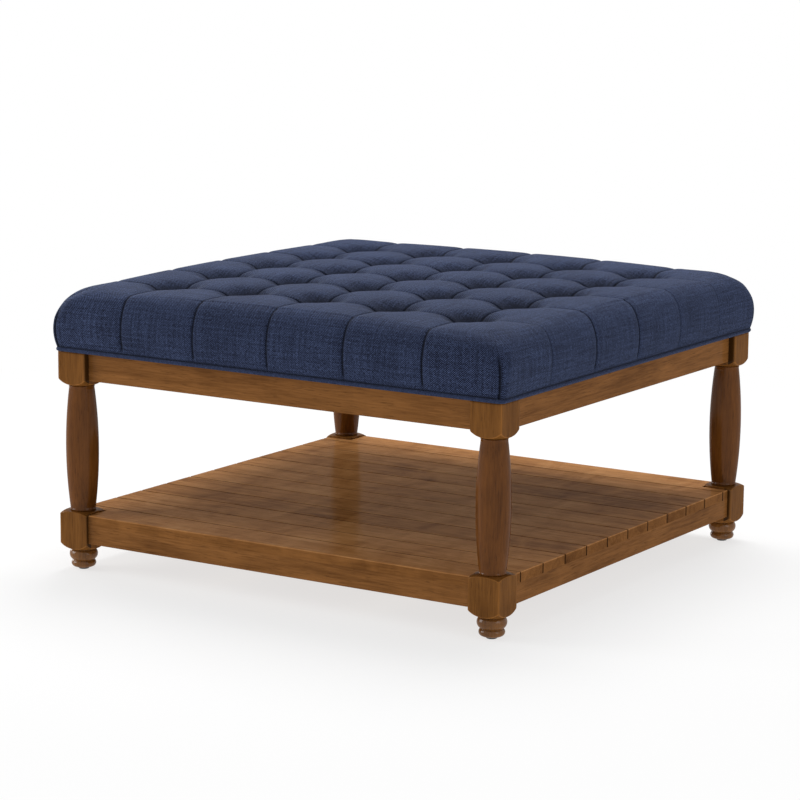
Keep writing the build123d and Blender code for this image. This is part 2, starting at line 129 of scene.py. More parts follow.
def feed(tree, slot, value):
    """Links a tone to an input, or sets the input to a plain value."""
    if isinstance(value, Tone):
        tree.links.new(value.socket, slot)
    else:
        slot.default_value = value


class Bench:
    """A tree of nodes on which things are put together, node by node."""

    def __init__(self, tree):
        self.tree = tree

    def node(self, kind, settings=None, inputs=None, output=0):
        """Adds a node of a type, sets it up, feeds its inputs, and gives one output."""
        made = self.tree.nodes.new(kind)
        for setting, value in (settings or {}).items():
            if setting == "stops":
                while len(made.color_ramp.elements) < len(value):
                    made.color_ramp.elements.new(0.5)
                for stop, (place, colour) in zip(made.color_ramp.elements, value):
                    stop.position = place
                    stop.color = (*colour, 1)
            else:
                setattr(made, setting, value)
        for slot, value in (inputs or {}).items():
            feed(self.tree, made.inputs[slot], value)
        return Tone(self.tree, made.outputs[output]) if made.outputs else None


class Finish(Bench):
    """One material, built around a Principled shader."""

    def __init__(self, name, **plain):
        self.material = bpy.data.materials.new(name)
        self.material.use_nodes = True
        super().__init__(self.material.node_tree)
        self.shader = self.tree.nodes["Principled BSDF"]
        self.show(**plain)

    def here(self):
        """The place on the object, in metres."""
        return self.node("ShaderNodeTexCoord", output=3)

    def scaled(self, place, scale, shift=(0, 0, 0)):
        return self.node("ShaderNodeMapping", inputs={0: place, 1: shift, 3: scale})

    def object_place(self, scale=(1, 1, 1), shift=(0, 0, 0)):
        return self.scaled(self.here(), scale, shift)

    def split(self, place):
        parted = self.node("ShaderNodeSeparateXYZ", inputs={0: place})
        return [Tone(self.tree, part) for part in parted.socket.node.outputs]

    def mark(self, label):
        """Reads a number that the mesh holds at each of its points."""
        return self.node("ShaderNodeAttribute", {"attribute_name": label}, output=2)

    def reckon(self, operation, value):
        return self.node("ShaderNodeMath", {"operation": operation}, {0: value})

    def noise(self, place, scale, detail=3.0, roughness=0.5, distortion=0.0):
        return self.node(
            "ShaderNodeTexNoise",
            inputs={
                "Vector": place,
                "Scale": scale,
                "Detail": detail,
                "Roughness": roughness,
                "Distortion": distortion,
            },
        )

    def ramp(self, factor, stops):
        return self.node("ShaderNodeValToRGB", {"stops": stops}, {0: factor})

    def step(self, value, low, high, start=0.0, end=1.0):
        """Runs smoothly from start to end as a value goes from low to high."""
        return self.node(
            "ShaderNodeMapRange",
            {"interpolation_type": "SMOOTHSTEP"},
            {"Value": value, "From Min": low, "From Max": high, "To Min": start, "To Max": end},
        )

    def blend(self, factor, first, second, mode="MIX"):
        settings = {"data_type": "RGBA", "blend_type": mode}
        return self.node("ShaderNodeMix", settings, {0: factor, 6: first, 7: second}, output=2)

    def bump(self, height, strength, distance):
        inputs = {"Height": height, "Strength": strength, "Distance": distance}
        return self.node("ShaderNodeBump", inputs=inputs)

    def show(self, **slots):
        for slot, value in slots.items():
            feed(self.tree, self.shader.inputs[slot.replace("_", " ")], value)
        return self.material


def wood_grain(finish, places, waver):
    """Bands, fibres and pits of a close-grained wood, and the relief that they leave."""
    band_place, fibre_place, pore_place = places
    bands = finish.noise(band_place, scale=4.2, detail=4.0, roughness=0.55, distortion=waver)
    fibres = finish.noise(fibre_place, scale=9.0, detail=5.0, roughness=0.65)
    pores = finish.noise(pore_place, scale=6.0, detail=2.0)
    pits = finish.step(pores, 0.40, 0.29)
    return bands, fibres, pits, fibres * 0.5 - pits * 0.6 + bands * 0.2


def stained_wood(name, grain, dark, light, dull, shift=0.0, coat=0.11, turned=None):
    """Stained hardwood, grain along one axis. Turned gives shaft ends, edge wear and painted
    light.
    """
    finish = Finish(name, Coat_Weight=coat, Coat_Roughness=0.16, Specular_IOR_Level=0.0)
    moved = (shift, shift, shift)
    places = []
    for (along, over), offset in (
        (band_stretch, moved),
        (fibre_stretch, (0, 0, 0)),
        (pore_stretch, (0, 0, 0)),
    ):
        scale = [along if axis == grain else over for axis in range(3)]
        places.append(finish.object_place(scale, offset))
    bands, fibres, pits, relief = wood_grain(finish, places, waver=1.2)
    even_place = finish.object_place(shift=moved)
    blotches = finish.noise(even_place, scale=5.5, detail=3.0, roughness=0.6, distortion=0.6)
    mix = bands * 0.40 + fibres * 0.46 + blotches * 0.32 - 0.09
    middle = [(a + b) / 2 for a, b in zip(dark, light)]
    colour = finish.ramp(mix, [(0.30, dark), (0.50, middle), (0.72, light)])
    pit_colour = (*[tone * pit_tone for tone in dark], 1)
    colour = finish.blend(pits * pit_strength, colour, pit_colour)
    if turned is not None:
        low, high = turned
        height = finish.split(finish.here())[2]
        inside = finish.step(height, low, low + finish_blur)
        inside = inside * finish.step(height, high, high - finish_blur)
        colour = finish.blend(inside, colour, shaft_stain, "MULTIPLY")
        foot = finish.step(height, neck + finish_blur, neck)
        finish.show(Coat_Weight=coat + shaft_gloss * inside + foot_gloss * foot)
        # Painted shade on the block faces that stand proud beside the rails, where shade falls.
        rail_shade = finish.mark("pooled_stain")
        colour = finish.blend(rail_shade * rail_shade_strength, colour, pooled_stain)
        # Lighter edges and arcs: the stain taken back by wear, and painted highlight along them.
        patchy = finish.step(blotches, 0.35, 0.6, start=0.55, end=1.0)
        edge_wear_and_highlight = finish.mark("rubbed_edge") * patchy
        bare_and_highlit = (*[min(1, tone * bare_and_highlit_tone) for tone in light], 1)
        colour = finish.blend(edge_wear_and_highlight * wear_and_highlight_strength, colour, bare_and_highlit)
    return finish.show(
        Base_Color=colour,
        Roughness=dull + (blotches - 0.5) * 0.22 + pits * 0.15,
        Normal=finish.bump(relief, strength=0.12, distance=0.0006),
    )


def arc_points(first, middle, last, count):
    """Points along the arc through three points, without its first."""
    (ax, ay), (bx, by), (cx, cy) = first, middle, last
    cross = 2 * (ax * (by - cy) + bx * (cy - ay) + cx * (ay - by))
    sa, sb, sc = ax * ax + ay * ay, bx * bx + by * by, cx * cx + cy * cy
    ux = (sa * (by - cy) + sb * (cy - ay) + sc * (ay - by)) / cross
    uy = (sa * (cx - bx) + sb * (ax - cx) + sc * (bx - ax)) / cross
    radius = sqrt((ax - ux) ** 2 + (ay - uy) ** 2)
    start, through, stop = (atan2(y - uy, x - ux) for x, y in (first, middle, last))
    through = start + (through - start + pi) % (2 * pi) - pi
    stop = through + (stop - through + pi) % (2 * pi) - pi
    turns = [start + (stop - start) * index / count for index in range(1, count + 1)]
    return [(ux + radius * cos(turn), uy + radius * sin(turn)) for turn in turns]


def bowed(first, last, bow, count):
    """Points along an arc that stands out from its chord by the bow."""
    (ax, ay), (bx, by) = first, last
    length = sqrt((bx - ax) ** 2 + (by - ay) ** 2)
    middle = ((ax + bx) / 2 + (by - ay) / length * bow, (ay + by) / 2 - (bx - ax) / length * bow)
    return arc_points(first, middle, last, count)


def lathe_outline():
    """Radius and height all the way up the leg, as the lathe cuts it."""
    corner = half_block * sqrt(2)

    def arc(middle, last, count):
        return arc_points(line[-1], middle, last, count)

    def block(start, end):
        steps = range(1, block_steps + 1)
        return [(corner, start + (end - start) * index / block_steps) for index in steps]

    line = [(0.0, glide_top), (pad_radius, glide_top), (pad_edge, glide_top + pad_bevel)]
    line += arc((bead_radius, glide_top + bead_rise), (waist_radius, waist), bead_steps)
    line += arc((ball_radius, waist + ball_rise), (neck_radius, neck), ball_steps)
    line += bowed(line[-1], (corner, lower_start), shoulder_bow, shoulder_steps)
    line += block(lower_start, lower_end)
    line += bowed(line[-1], (cove_radius, lower_collar), chin_bow, shoulder_steps)
    middle = (lower_collar + shaft_start) / 2
    line += arc((collar_radius, middle), (quirk_radius, shaft_start), collar_steps)
    middle = (shaft_start + shaft_end) / 2
    line += arc((belly_radius, middle), (quirk_radius, shaft_end), shaft_steps)
    middle = (shaft_end + upper_collar) / 2
    line += arc((collar_radius, middle), (cove_radius, upper_collar), collar_steps)
    line += bowed(line[-1], (corner, upper_start), shoulder_bow, shoulder_steps)
    line += block(upper_start, leg_top)
    return np.array(line + [(0.0, leg_top)])


def block_reach(turn):
    """Distance from the leg's axis to the face of its rounded square block."""
    x, y = abs(cos(turn)), abs(sin(turn))
    x, y = max(x, y), min(x, y)
    flat = half_block / x
    if flat * y <= half_block - edge_round:
        return flat
    centre = half_block - edge_round
    push = centre * (x + y)
    return push + sqrt(max(push * push - 2 * centre * centre + edge_round**2, 0))


def plain_piece(name, points, faces, material, smooth=True):
    """A mesh object from points and faces, with its place in its mesh."""
    mesh = bpy.data.meshes.new(name)
    mesh.from_pydata([tuple(point) for point in points], [], faces)
    mesh.materials.append(material)
    mesh.polygons.foreach_set("use_smooth", [smooth] * len(mesh.polygons))
    mesh.update()
    piece = bpy.data.objects.new(name, mesh)
    bpy.context.scene.collection.objects.link(piece)
    return piece


def marked(mesh, label, values):
    """Stores a number at each point of a mesh, for its material to read."""
    stored = mesh.attributes.new(label, "FLOAT", "POINT")
    stored.data.foreach_set("value", values.astype(np.float32))


leg_wood = stained_wood(
    "leg_wood",
    grain=2,
    dark=frame_dark,
    light=frame_light,
    dull=0.36,
    coat=0.14,
    turned=(lower_collar - shaft_margin, upper_collar + shaft_margin),
)
outline = lathe_outline()
turns = np.arange(around) * 2 * pi / around
blocks = np.array([block_reach(turn) for turn in turns])
arrises = np.clip((blocks - half_block * arris_start) / (half_block * arris_span), 0, 1)
for corner, (x_side, y_side) in {
    "back_right": (1, 1),
    "back_left": (-1, 1),
    "front_left": (-1, -1),
    "front_right": (1, -1),
}.items():
    facing = np.cos(turns - atan2(-y_side, -x_side))
    cut = planed_reach / np.maximum(facing, planed_span)
    planed = np.where(facing > planed_span, cut, unplaned)
    column = np.minimum(blocks, planed)
    rings, lit_and_worn, rail_shaded = [], [], []
    for radius, height in outline[1:-1]:
        squared = neck < height < lower_collar or height > upper_collar
        gap = radius - column
        share = np.clip(0.5 + 0.5 * gap / blend_over, 0, 1) * squared
        reach = radius * (1 - share) + column * share - blend_over * share * (1 - share)
        ring = [reach * np.cos(turns), reach * np.sin(turns), np.full(around, height)]
        rings.append(np.stack(ring, 1))
        # Lighter where turning meets the block and along the arrises: part wear, part painted
        # highlight.
        arris = arrises * (gap > -arris_cut)
        lit_and_worn.append(np.clip(4 * share * (1 - share) + arris_wear_and_highlight * arris, 0, 1) * squared)
        out_x, out_y = x_side * np.cos(turns) * reach, y_side * np.sin(turns) * reach
        # Block faces that stand proud of the rails, marked for painted shade.
        beside = (out_x < -inner_face) * (out_y > rail_face)
        beside = beside + (out_y < -inner_face) * (out_x > rail_face)
        rail_shaded.append(beside * 1.0)
    points = np.concatenate([[[0, 0, glide_top]], *rings, [[0, 0, leg_top]]])
    points += [x_side * leg_axis, y_side * leg_axis, 0]
    last = len(points) - 1
    top = last - around
    faces = []
    for index in range(around):
        follow = (index + 1) % around
        faces += [(0, 1 + follow, 1 + index), (top + index, top + follow, last)]
        for base in range(1, top, around):
            above = base + around
            faces.append((base + index, base + follow, above + follow, above + index))
    leg = plain_piece(f"turned_leg_{corner}", points, faces, leg_wood)
    marked(leg.data, "rubbed_edge", np.concatenate([[0], *lit_and_worn, [0]]))
    marked(leg.data, "pooled_stain", np.concatenate([[0], *rail_shaded, [0]]))
    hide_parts(f"leg_{corner}")
    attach(leg, "root")


# Glides: moulded black plastic discs under the feet. Each sits on a nail that is driven up
# into the leg, and keeps the wood off the floor.
glide_dark, glide_scuffed = (0.012, 0.011, 0.010), (0.035, 0.032, 0.030)


def dress(names, material):
    """Gives CAD nodes their finish."""
    for name in names:
        mesh = nodes[name].data
        mesh.materials.clear()
        mesh.materials.append(material)


glide_plastic = Finish("glide_plastic")
speckle = glide_plastic.noise(glide_plastic.object_place(), scale=900, detail=2)
scuff = glide_plastic.noise(glide_plastic.object_place(), scale=120)
dress(
    ["foot_glides"],
    glide_plastic.show(
        Base_Color=glide_plastic.ramp(scuff, [(0.3, glide_dark), (0.8, glide_scuffed)]),
        Roughness=0.38 + speckle * 0.25,
        Normal=glide_plastic.bump(speckle, strength=0.15, distance=0.0002),
    ),
)

# Apron and shelf rails: planed hardwood, stained like the legs, with the grain along each
# rail. Their colours are set lighter than the legs' as painted light, against the cushion's shade.
# A tenon at each end is glued into the mortise of a leg's block.
rail_dark, rail_light = (0.090, 0.032, 0.0066), (0.325, 0.138, 0.040)
rail_wood_x = stained_wood("rail_wood_x", 0, rail_dark, rail_light, dull=0.38, shift=0.31)
rail_wood_y = stained_wood("rail_wood_y", 1, rail_dark, rail_light, dull=0.38, shift=0.77)
for level in ("apron", "shelf"):
    dress([f"{level}_rail_front", f"{level}_rail_back"], rail_wood_x)
    dress([f"{level}_rail_left", f"{level}_rail_right"], rail_wood_y)

# Corner braces and battens: pale wood, sawn and left plain, because they are hidden. The
# braces are keyed into two rails behind each leg. The battens lie under the shelf boards,
# let into the front and back shelf rails.
sawn_dark, sawn_light = (0.34, 0.21, 0.105), (0.60, 0.44, 0.27)
brace_wood = stained_wood("brace_wood", 2, sawn_dark, sawn_light, dull=0.68)
batten_wood = stained_wood("batten_wood", 1, sawn_dark, sawn_light, dull=0.68, shift=0.5)
dress([name for name in nodes if "brace" in name], brace_wood)
dress([name for name in nodes if "batten" in name], batten_wood)

# Bolts, washers, screws and brads: zinc-plated steel, a little dull. The bolts draw each leg
# to its braces, the screws hold the deck board, and the brads hold the shelf boards.
plated_steel = Finish("plated_steel", Metallic=1.0)
bloom = plated_steel.noise(plated_steel.object_place(), scale=260)
zinc_dull, zinc_bright = (0.42, 0.42, 0.40), (0.62, 0.61, 0.58)
plated = plated_steel.show(
    Base_Color=plated_steel.ramp(bloom, [(0.3, zinc_dull), (0.7, zinc_bright)]),
    Roughness=0.30 + bloom * 0.2,
)
dress(["corner_bolts", "corner_washers", "deck_screws", "shelf_brads"], plated)

# Shelf boards: twelve hardwood planks laid side by side with a fine gap and bradded to the
# battens. They are lacquered, and their faces are lighter than the frame: partly a lighter stain,
# partly painted light for the light that the cushion keeps off them. Painted shade darkens the
# gaps between them. Each has its own run of grain and its own tone.
board_pitch, boards_each_side = 0.0691833, 6.0
gap_start, gap_middle = 0.0327, 0.0334
shelf_reach, shelf_inside = 0.4130, 0.4120
face_start, face_full = 0.0938, 0.0956
board_dark, board_middle = (0.205, 0.079, 0.021), (0.440, 0.197, 0.066)
board_light = (0.665, 0.343, 0.138)
board_pit, board_gap_shade = (0.045, 0.018, 0.006, 1), (0.010, 0.004, 0.0015, 1)
run_shift, depth_shift, gap_shade_strength = 7.0, 3.0, 0.85

shelf_wood = Finish("shelf_wood", Coat_Weight=0.07, Coat_Roughness=0.15, Specular_IOR_Level=0.0)
_, across, height = shelf_wood.split(shelf_wood.here())
counted = across / board_pitch + boards_each_side
within = counted % 1.0
own = shelf_wood.node(
    "ShaderNodeTexWhiteNoise", {"noise_dimensions": "1D"}, {"W": counted - within + 0.5}
)
run_on = shelf_wood.node(
    "ShaderNodeCombineXYZ", inputs={0: own * run_shift, 2: own * depth_shift}
)
board_place = shelf_wood.node(
    "ShaderNodeVectorMath", {"operation": "ADD"}, {0: shelf_wood.here(), 1: run_on}
)
board_places = [
    shelf_wood.scaled(board_place, (along, over, over))
    for along, over in (band_stretch, fibre_stretch, pore_stretch)
]
figure, fibre, pit, board_relief = wood_grain(shelf_wood, board_places, waver=1.6)
even_place = shelf_wood.object_place((1.7, 1, 1))
blotch = shelf_wood.noise(even_place, scale=8.0, detail=4.0, roughness=0.6, distortion=1.0)
shade = figure * 0.36 + fibre * 0.36 + blotch * 0.42 + own * 0.10 - 0.14
# Painted light: the faces' colours are raised above the frame's for light the cushion keeps off.
brightened_face_colour = shelf_wood.ramp(
    shade, [(0.30, board_dark), (0.50, board_middle), (0.74, board_light)]
)
edge_colour = shelf_wood.ramp(shade, [(0.30, rail_dark), (0.72, rail_light)])
on_face = shelf_wood.step(height, face_start, face_full)
shelf_colour = shelf_wood.blend(on_face, edge_colour, brightened_face_colour)
shelf_colour = shelf_wood.blend(pit * pit_strength, shelf_colour, board_pit)
# Painted shade in the gaps between the boards, on the boards' edges there.
from_middle = shelf_wood.reckon("ABSOLUTE", within - 0.5) * board_pitch
on_shelf = shelf_wood.step(shelf_wood.reckon("ABSOLUTE", across), shelf_reach, shelf_inside)
gap_shaded = shelf_wood.step(from_middle, gap_start, gap_middle) * on_shelf
shelf_colour = shelf_wood.blend(gap_shaded * gap_shade_strength, shelf_colour, board_gap_shade)
dress(
    [name for name in nodes if "plank" in name],
    shelf_wood.show(
        Base_Color=shelf_colour,
        Roughness=0.30 + (blotch - 0.5) * 0.24 + pit * 0.15,
        Normal=shelf_wood.bump(board_relief, strength=0.10, distance=0.0006),
    ),
)

# Deck board and dust cover: sanded plywood that carries the cushion, laid on the frame and
# screwed down through the apron's braces, over a thin black cloth.
ply_dark, ply_light = (0.42, 0.28, 0.15), (0.66, 0.50, 0.32)
deck_plywood = stained_wood("deck_plywood", 0, ply_dark, ply_light, dull=0.62, shift=0.2)
dress(["deck_board"], deck_plywood)
lining = Finish("black_lining")
mesh_cloth = lining.noise(lining.object_place(), scale=1400, detail=2)
lining_dark, lining_pale = (0.006, 0.006, 0.007), (0.030, 0.030, 0.032)
dress(
    ["dust_cover"],
    lining.show(
        Base_Color=lining.ramp(mesh_cloth, [(0.35, lining_dark), (0.7, lining_pale)]),
        Roughness=0.85 + mesh_cloth * 0.1,
        Normal=lining.bump(mesh_cloth, strength=0.3, distance=0.0003),
    ),
)

# Foam core and wadding cap: a cut block of cream foam on the deck, under a cap of white
# polyester that softens its edges. Both are hidden in the cover, which holds them in place.
for filling, pale, deep in (
    ("foam_core", (0.80, 0.74, 0.55), (0.66, 0.58, 0.38)),
    ("wadding_cap", (0.88, 0.88, 0.86), (0.74, 0.74, 0.72)),
):
    cells = Finish(f"{filling}_fill")
    cell = cells.noise(cells.object_place(), scale=420, detail=4, roughness=0.7)
    dress(
        [filling],
        cells.show(
            Base_Color=cells.ramp(cell, [(0.3, deep), (0.7, pale)]),
            Roughness=0.9 + cell * 0.05,
            Normal=cells.bump(cell, strength=0.4, distance=0.001),
        ),
    )

# Tufted cover: one piece of navy linen-look cloth, pulled down with twine at five by five
# tufts, pleated straight from tuft to tuft and down the sides, and lapped at the corners.
# It is drawn over the filling and turned in under the deck, where it is stapled.
cover_bottom, deck_top, cavity_top = 0.3726, 0.3788, 0.4460
deck_reach, wadding_reach = 0.4183, 0.4123
base_half, wide_half, shoulder_half = 0.423, 0.4285, 0.397
wide_height, shoulder_height, crown_height = 0.4100, 0.4690, 0.4785
base_corner, shoulder_corner = 0.013, 0.048
wall_rings, shoulder_share = 26, 0.66
corner_drop, settle_run, settle_start = 0.007, 0.8, 0.35

tuft_pitch, tuft_edge, outer_tuft = 0.142, 0.284, 2
tuft_depth, bowl_radius = 0.0335, 0.060
pleat_depth, pleat_reach, pleat_round, pleat_lip = 0.0110, 0.045, 2.4, 0.62
crossing_share, meet_over, meet_drop = 0.25, 0.008, 0.002

thread_pitch = 0.0032
slub_stretch, streak_stretch = (250, 880), (300, 14)
linen_dark, linen_middle = (0.0016, 0.0025, 0.0088), (0.0096, 0.0138, 0.0365)
linen_light = (0.0650, 0.0915, 0.1850)
painted_shade_navy, crease_shade_navy = (0.0022, 0.0032, 0.0090, 1), (0.0012, 0.0016, 0.0045, 1)
depth_shade_strength, crease_shade_strength = 0.82, 0.92
linen_sheen = {"Sheen_Weight": 0.04, "Sheen_Roughness": 0.5, "Specular_IOR_Level": 0.12}


def navy_linen():
    """Plain weave in navy with lighter slubs along both threads, and painted shade in its folds.
    """
    cloth = Finish("navy_linen", Sheen_Tint=(0.45, 0.60, 1.0, 1), **linen_sheen)
    threads = cloth.node("ShaderNodeUVMap", {"uv_map": "threads"})

    def both_ways(stretch, roughness):
        along, over = stretch
        ways = [cloth.scaled(threads, scale) for scale in ((along, over, 1), (over, along, 1))]
        first, second = [
            cloth.noise(way, scale=1.0, detail=2.0, roughness=roughness) for way in ways
        ]
        return first + second

    u, v, _ = cloth.split(threads)
    warp, weft = [cloth.reckon("SINE", thread * (2 * pi / thread_pitch)) for thread in (u, v)]
    weave = warp * weft * 0.5 + 0.5
    slubs = both_ways(slub_stretch, roughness=0.6)
    streaks = both_ways(streak_stretch, roughness=0.5)
    faded = cloth.noise(cloth.object_place(), scale=7.0)
    tone = slubs * 0.27 + streaks * 0.13 + weave * 0.22 + (faded - 0.5) * 0.05
    colour = cloth.ramp(tone, [(0.41, linen_dark), (0.50, linen_middle), (0.61, linen_light)])
    # Painted shade where the cloth lies deep in a bowl or pleat.
    colour = cloth.blend(cloth.mark("sunk") * depth_shade_strength, colour, painted_shade_navy)
    # Painted shade in the creases, along the corner laps and at the foot above the welt.
    colour = cloth.blend(cloth.mark("fold") * crease_shade_strength, colour, crease_shade_navy)
    return cloth.show(
        Base_Color=colour,
        Roughness=0.84 + tone * 0.1,
        Normal=cloth.bump(weave * 0.4 + tone * 1.2, strength=0.6, distance=0.0009),
    )


def grid_lines():
    """Lines across the top, in metres, closer together on the pleats and at the corners."""
    pad_width = 142
    last_tuft = outer_tuft * pad_width
    half = [0, 1.5, 3.5, 6.5, 10.5, 15.5, 21, 27, 33.5, 41, 50, 60, 71]
    pad = half + [pad_width - place for place in reversed(half[1:-1])]
    edge = half[1:-1] + [71, 82, 91, 97.5, 102, 105.5, 108, 110, 111.5, 113]
    inner = [
        pad_width * pad_index - last_tuft + place
        for pad_index in range(2 * outer_tuft)
        for place in pad
    ]
    outer = [last_tuft + place for place in edge]
    return np.array([-place for place in reversed(outer)] + inner + [last_tuft] + outer) / 1000


def rounded(x, y, half, radius):
    """Moves a point of a square ring onto a ring with rounded corners."""
    side, other = (x, y) if abs(x) >= abs(y) else (y, x)
    past = abs(other) - (half - radius)
    place = (half, abs(other))
    if radius > 0 and past > 0:
        turn = min(past / radius, 1) * pi / 4
        place = (half - radius + radius * cos(turn), half - radius + radius * sin(turn))
    moved_side, moved_other = np.copysign(place[0], side), np.copysign(place[1], other)
    return (moved_side, moved_other) if abs(x) >= abs(y) else (moved_other, moved_side)


def nearest_line(place):
    """Number of the nearest line of tufts, counted from the middle."""
    return np.clip(np.round(place / tuft_pitch), -outer_tuft, outer_tuft)


def from_line(place):
    """Distance to the nearest line of tufts."""
    return np.abs(place - nearest_line(place) * tuft_pitch)


def off_pleat(x, y, margin):
    """Distance to the nearest pleat. Past the outer tufts, none runs along the edge."""
    off_x = from_line(x) + (np.abs(x) > tuft_edge + margin)
    off_y = from_line(y) + (np.abs(y) > tuft_edge + margin)
    return np.minimum(off_x, off_y)


def dip(x, y):
    """How far the cloth is drawn in at a place on the top: pleats, and bowls at the tufts."""
    off_x, off_y = from_line(x), from_line(y)

    def valley(off, along):
        share = np.clip(1 - off / pleat_reach, 0, 1)
        past = np.clip((np.abs(along) - tuft_edge) / (shoulder_half - tuft_edge), 0, 1)
        return pleat_depth * (1 - past) ** 2.0 * (1 - (1 - share**pleat_round) ** pleat_lip)

    first, second = valley(off_x, y), valley(off_y, x)
    valleys = np.maximum(first, second) + crossing_share * np.minimum(first, second)
    share = np.clip(1 - np.hypot(off_x, off_y) / bowl_radius, 0, 1)
    bowls = tuft_depth * share * share * (3 - 2 * share)
    near = np.clip(1 - np.abs(valleys - bowls) / meet_over, 0, 1)
    return np.maximum(valleys, bowls) + meet_drop * near * near


def settled(x, y):
    """Share by which a corner has settled: all at the front right, none at the back left."""
    at_corner = np.minimum((x / shoulder_half) ** 2 * (y / shoulder_half) ** 2, 1)
    return at_corner * (1 - np.clip((y - x) / settle_run + settle_start, 0, 1))


def crown(x, y):
    """Height of the cushion's top without its tufts: bowed, and lower towards its corners."""
    bow = 1 - (x / shoulder_half) ** 2 / 2 - (y / shoulder_half) ** 2 / 2
    bowed_up = (crown_height - shoulder_height) * np.maximum(bow, 0)
    return shoulder_height + bowed_up - corner_drop * settled(x, y)


def stretched(place, reach):
    """Carries a place on the rim out to a wider ring, leaving the pleats where they are."""
    past = abs(place) - tuft_edge
    if past > 0:
        wider = past * (reach - tuft_edge) / (shoulder_half - tuft_edge)
        place = np.copysign(tuft_edge + wider, place)
    return place


lines = grid_lines()
count = len(lines)
points = []
for y in lines:
    for x in lines:
        reach = max(abs(x), abs(y))
        past = min(max((reach - tuft_edge) / (shoulder_half - tuft_edge), 0), 1)
        px, py = rounded(x, y, reach, shoulder_corner * past)
        points.append((px, py, float(crown(px, py) - dip(x, y))))
faces, face_threads = [], []
for row in range(count - 1):
    for col in range(count - 1):
        ring = [(row, col), (row, col + 1), (row + 1, col + 1), (row + 1, col)]
        faces.append([r * count + c for r, c in ring])
        face_threads.append([(lines[c], lines[r]) for r, c in ring])

# The sides: rings that round the shoulder, swell out and draw in again to the deck.
rim = [(0, col) for col in range(count)] + [(row, count - 1) for row in range(1, count)]
rim += [(count - 1, col) for col in range(count - 2, -1, -1)]
rim += [(row, 0) for row in range(count - 2, 0, -1)]
rim_places = [(lines[col], lines[row]) for row, col in rim]
previous = [row * count + col for row, col in rim]
length, last_place = 0.0, (shoulder_half, shoulder_height)
for index in range(1, wall_rings + 1):
    share = index / wall_rings
    over = min(share / shoulder_share, 1)
    reach = shoulder_half + (wide_half - shoulder_half) * sin(pi / 2 * over)
    height = wide_height + (shoulder_height - wide_height) * cos(pi / 2 * over)
    if share > shoulder_share:
        down = (share - shoulder_share) / (1 - shoulder_share)
        reach = wide_half - (wide_half - base_half) * down**2
        height = wide_height - (wide_height - cover_bottom) * down
    step = sqrt((reach - last_place[0]) ** 2 + (height - last_place[1]) ** 2)
    rise = (height - cover_bottom) / (shoulder_height - cover_bottom)
    radius = base_corner + (shoulder_corner - base_corner) * rise**2
    ring = list(range(len(points), len(points) + len(rim)))
    for x, y in rim_places:
        lower = corner_drop * (1 - over) ** 2 * settled(x, y)
        place = rounded(stretched(x, reach), stretched(y, reach), reach, radius)
        points.append((*place, height - lower))
    for place in range(len(rim)):
        follow = (place + 1) % len(rim)
        faces.append([previous[place], ring[place], ring[follow], previous[follow]])
        facing_y = abs(rim_places[place][1]) == abs(rim_places[follow][1]) == shoulder_half
        uvs = []
        for which, far in (
            (place, length),
            (place, length + step),
            (follow, length + step),
            (follow, length),
        ):
            x, y = rim_places[which]
            uvs.append((x, y + np.sign(y) * far) if facing_y else (x + np.sign(x) * far, y))
        face_threads.append(uvs)
    previous, length, last_place = ring, length + step, (reach, height)

cushion = plain_piece("tufted_cushion", points, faces, navy_linen())
start_points = np.array(points)
layer = cushion.data.uv_layers.new(name="threads")
layer.data.foreach_set("uv", np.array(face_threads).ravel())


def thread_places(mesh):
    """Each point's place on the cloth, laid flat."""
    corners = np.empty(len(mesh.loops), dtype=np.int32)
    mesh.loops.foreach_get("vertex_index", corners)
    flat = np.empty(len(mesh.loops) * 2)
    mesh.uv_layers["threads"].data.foreach_get("uv", flat)
    places = np.zeros((len(mesh.vertices), 2))
    places[corners] = flat.reshape(-1, 2)
    return places


# The cloth is inflated between its tufts and pleats, which stay held, and may move little.
stitched, pleated = 1.0, 0.9
stitch_radius, foot_held, pleat_held = 0.012, 0.004, 0.001
last_frame, most_travel = 14, 0.005
flat_x, flat_y = thread_places(cushion.data).T
held = np.where(off_pleat(flat_x, flat_y, pleat_held) < pleat_held, pleated, 0.0)
held[np.hypot(from_line(flat_x), from_line(flat_y)) < stitch_radius] = stitched
held[start_points[:, 2] < cover_bottom + foot_held] = stitched
group = cushion.vertex_groups.new(name="held")
for weight in (pleated, stitched):
    group.add([int(index) for index in np.flatnonzero(held == weight)], weight, "REPLACE")
simulated = cushion.modifiers.new("cloth", "CLOTH")
settings = simulated.settings
settings.quality = 4
settings.mass = 0.25
settings.tension_stiffness = settings.compression_stiffness = 12
settings.shear_stiffness = 6
settings.bending_stiffness = 0.8
settings.vertex_group_mass = "held"
settings.pin_stiffness = 1.5
settings.use_pressure = True
settings.uniform_pressure_force = 4.0
settings.effector_weights.gravity = 0
simulated.collision_settings.use_collision = False
simulated.collision_settings.use_self_collision = False
simulated.point_cache.frame_start = 1
simulated.point_cache.frame_end = last_frame
for step in range(1, last_frame + 1):
    bpy.context.scene.frame_set(step)
inflated = cushion.evaluated_get(bpy.context.evaluated_depsgraph_get())
moved = np.empty(len(points) * 3)
inflated.data.vertices.foreach_get("co", moved)
cushion.modifiers.remove(simulated)
cushion.vertex_groups.remove(group)
bpy.context.scene.frame_set(1)
travel = moved.reshape(-1, 3) - start_points
far = np.linalg.norm(travel, axis=1, keepdims=True)
travel *= np.minimum(1, most_travel / np.maximum(far, 1e-9))
cushion.data.vertices.foreach_set("co", (start_points + travel).ravel())


